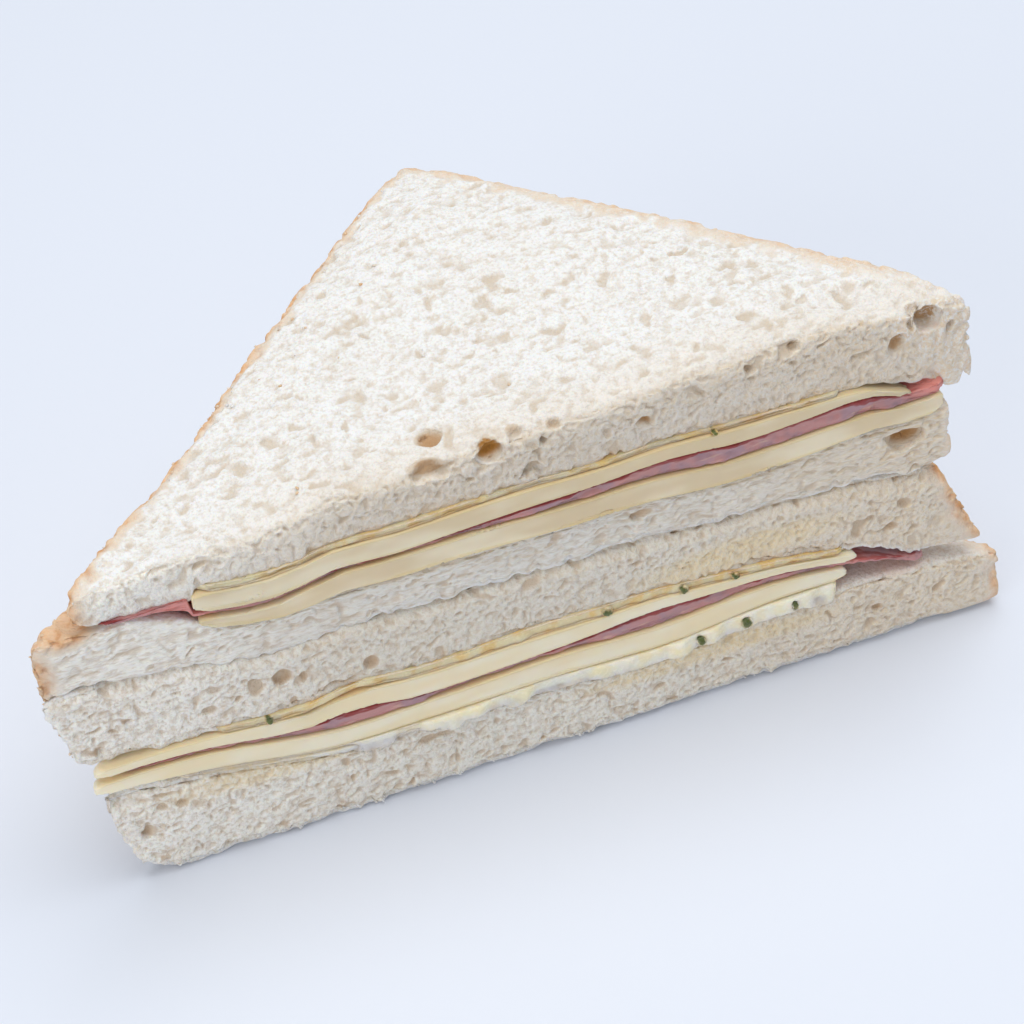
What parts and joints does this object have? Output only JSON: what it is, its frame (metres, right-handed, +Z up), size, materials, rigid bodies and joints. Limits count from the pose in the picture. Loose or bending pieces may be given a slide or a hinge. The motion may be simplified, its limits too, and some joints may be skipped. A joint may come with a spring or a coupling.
{
  "type": "club sandwich",
  "caption": "Club sandwich: two triangular halves of a ham and cheese sandwich on soft white bread, stacked with their cut faces flush, with herb spread between the layers.",
  "frame": {"origin": "under the middle of the bounding box, on the flat face that the sandwich stands on", "axes": "+X runs along the cut faces from the left corner to the right corner, +Y points from the cut faces to the crust corner behind them, +Z is up"},
  "size_m": [0.1782, 0.0868, 0.0774],
  "materials": {
    "crumb": "soft white bread crumb with a thin tan crust, matte",
    "cheese": "pale yellow sliced cheese, smooth with a low sheen",
    "ham": "cooked ham, moist pink with a darker red edge",
    "spread": "glossy cream mayonnaise with chopped green herb flecks"
  },
  "bodies": {
    "root": {"bread_bottom": "crumb", "spread_bottom": "spread", "cheese_bottom": "cheese", "ham_lower": "ham", "cheese_lower": "cheese", "spread_lower": "spread", "bread_lower": "crumb", "bread_middle": "crumb", "cheese_middle": "cheese", "ham_upper": "ham", "cheese_upper": "cheese", "spread_upper": "spread", "bread_top": "crumb"}
  },
  "joints": []
}
